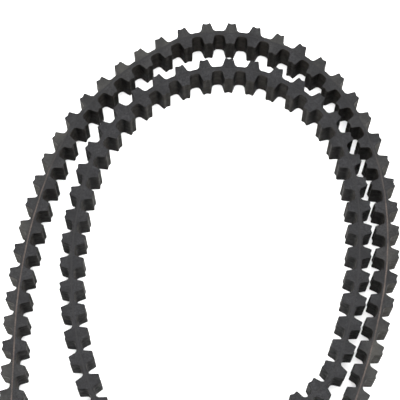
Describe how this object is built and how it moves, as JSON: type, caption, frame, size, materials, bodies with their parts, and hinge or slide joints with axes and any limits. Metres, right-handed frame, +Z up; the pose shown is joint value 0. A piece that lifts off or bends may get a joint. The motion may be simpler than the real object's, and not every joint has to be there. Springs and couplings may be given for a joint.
{
  "type": "rubber track",
  "caption": "Endless moulded-rubber track with tapered lugs on both sides, folded double and curled into a C on its edge.",
  "frame": {"origin": "centre of the folded track's footprint, on the surface it stands on", "axes": "+Z up, across the belt's width; +Y along the length of the fold, towards the closed side of the C; +X towards the side where the two strands lie close together"},
  "size_m": [0.3202, 0.4292, 0.03],
  "materials": {
    "lug_rubber": "matte moulded rubber",
    "cover_rubber": "matte moulded rubber",
    "cord_ply": "rubbered brown cord"
  },
  "bodies": {
    "stretch_01": {"tread_lugs_01": "lug_rubber", "drive_lugs_01": "lug_rubber", "outer_cover_01": "cover_rubber", "inner_cover_01": "cover_rubber", "cord_ply_01": "cord_ply"},
    "stretch_02": {"tread_lugs_02": "lug_rubber", "drive_lugs_02": "lug_rubber", "outer_cover_02": "cover_rubber", "inner_cover_02": "cover_rubber", "cord_ply_02": "cord_ply"},
    "stretch_03": {"tread_lugs_03": "lug_rubber", "drive_lugs_03": "lug_rubber", "outer_cover_03": "cover_rubber", "inner_cover_03": "cover_rubber", "cord_ply_03": "cord_ply"},
    "stretch_04": {"tread_lugs_04": "lug_rubber", "drive_lugs_04": "lug_rubber", "outer_cover_04": "cover_rubber", "inner_cover_04": "cover_rubber", "cord_ply_04": "cord_ply"},
    "stretch_05": {"tread_lugs_05": "lug_rubber", "drive_lugs_05": "lug_rubber", "outer_cover_05": "cover_rubber", "inner_cover_05": "cover_rubber", "cord_ply_05": "cord_ply"},
    "stretch_06": {"tread_lugs_06": "lug_rubber", "drive_lugs_06": "lug_rubber", "outer_cover_06": "cover_rubber", "inner_cover_06": "cover_rubber", "cord_ply_06": "cord_ply"},
    "stretch_07": {"tread_lugs_07": "lug_rubber", "drive_lugs_07": "lug_rubber", "outer_cover_07": "cover_rubber", "inner_cover_07": "cover_rubber", "cord_ply_07": "cord_ply"},
    "stretch_08": {"tread_lugs_08": "lug_rubber", "drive_lugs_08": "lug_rubber", "outer_cover_08": "cover_rubber", "inner_cover_08": "cover_rubber", "cord_ply_08": "cord_ply"},
    "stretch_09": {"tread_lugs_09": "lug_rubber", "drive_lugs_09": "lug_rubber", "outer_cover_09": "cover_rubber", "inner_cover_09": "cover_rubber", "cord_ply_09": "cord_ply"},
    "stretch_10": {"tread_lugs_10": "lug_rubber", "drive_lugs_10": "lug_rubber", "outer_cover_10": "cover_rubber", "inner_cover_10": "cover_rubber", "cord_ply_10": "cord_ply"},
    "stretch_11": {"tread_lugs_11": "lug_rubber", "drive_lugs_11": "lug_rubber", "outer_cover_11": "cover_rubber", "inner_cover_11": "cover_rubber", "cord_ply_11": "cord_ply"},
    "stretch_12": {"tread_lugs_12": "lug_rubber", "drive_lugs_12": "lug_rubber", "outer_cover_12": "cover_rubber", "inner_cover_12": "cover_rubber", "cord_ply_12": "cord_ply"}
  },
  "joints": [
    {"name": "bend_12_01", "type": "hinge", "parent": "stretch_12", "child": "stretch_01", "pos_m": [0.01193, 0.20521, 0.015], "axis": [0, 0, 1], "range_deg": [-2, 14]},
    {"name": "bend_01_02", "type": "hinge", "parent": "stretch_01", "child": "stretch_02", "pos_m": [0.13419, 0.11705, 0.015], "axis": [0, 0, 1], "range_deg": [-0.8, 5.1]},
    {"name": "bend_02_03", "type": "hinge", "parent": "stretch_02", "child": "stretch_03", "pos_m": [0.14176, -0.04025, 0.015], "axis": [0, 0, 1], "range_deg": [-1.1, 7.2]},
    {"name": "bend_03_04", "type": "hinge", "parent": "stretch_03", "child": "stretch_04", "pos_m": [0.0863, -0.18973, 0.015], "axis": [0, 0, 1], "range_deg": [-1.7, 0.3]},
    {"name": "bend_11_12", "type": "hinge", "parent": "stretch_12", "child": "stretch_11", "pos_m": [-0.1126, 0.11446, 0.015], "axis": [0, 0, 1], "range_deg": [-7.2, 1.1]},
    {"name": "bend_10_11", "type": "hinge", "parent": "stretch_11", "child": "stretch_10", "pos_m": [-0.14978, -0.03995, 0.015], "axis": [0, 0, 1], "range_deg": [-0.6, 3.8]},
    {"name": "bend_09_10", "type": "hinge", "parent": "stretch_10", "child": "stretch_09", "pos_m": [-0.1062, -0.17463, 0.015], "axis": [0, 0, 1], "range_deg": [-5.8, 0.9]},
    {"name": "bend_08_09", "type": "hinge", "parent": "stretch_09", "child": "stretch_08", "pos_m": [-0.10562, -0.03031, 0.015], "axis": [0, 0, 1], "range_deg": [-0.7, 4.4]},
    {"name": "bend_07_08", "type": "hinge", "parent": "stretch_08", "child": "stretch_07", "pos_m": [-0.07411, 0.12333, 0.015], "axis": [0, 0, 1], "range_deg": [-1.4, 9.3]},
    {"name": "bend_06_07", "type": "hinge", "parent": "stretch_07", "child": "stretch_06", "pos_m": [0.06845, 0.15962, 0.015], "axis": [0, 0, 1], "range_deg": [-1.7, 11.9]},
    {"name": "bend_05_06", "type": "hinge", "parent": "stretch_06", "child": "stretch_05", "pos_m": [0.12743, 0.0198, 0.015], "axis": [0, 0, 1], "range_deg": [-1.6, 11]}
  ],
  "couplings": [
    {"joint": "bend_01_02", "follows": "bend_12_01", "ratio": 0.36},
    {"joint": "bend_02_03", "follows": "bend_12_01", "ratio": 0.51},
    {"joint": "bend_03_04", "follows": "bend_12_01", "ratio": -0.12},
    {"joint": "bend_11_12", "follows": "bend_12_01", "ratio": -0.51},
    {"joint": "bend_10_11", "follows": "bend_12_01", "ratio": 0.27},
    {"joint": "bend_09_10", "follows": "bend_12_01", "ratio": -0.41},
    {"joint": "bend_08_09", "follows": "bend_12_01", "ratio": 0.31},
    {"joint": "bend_07_08", "follows": "bend_12_01", "ratio": 0.66},
    {"joint": "bend_06_07", "follows": "bend_12_01", "ratio": 0.85},
    {"joint": "bend_05_06", "follows": "bend_12_01", "ratio": 0.78}
  ]
}
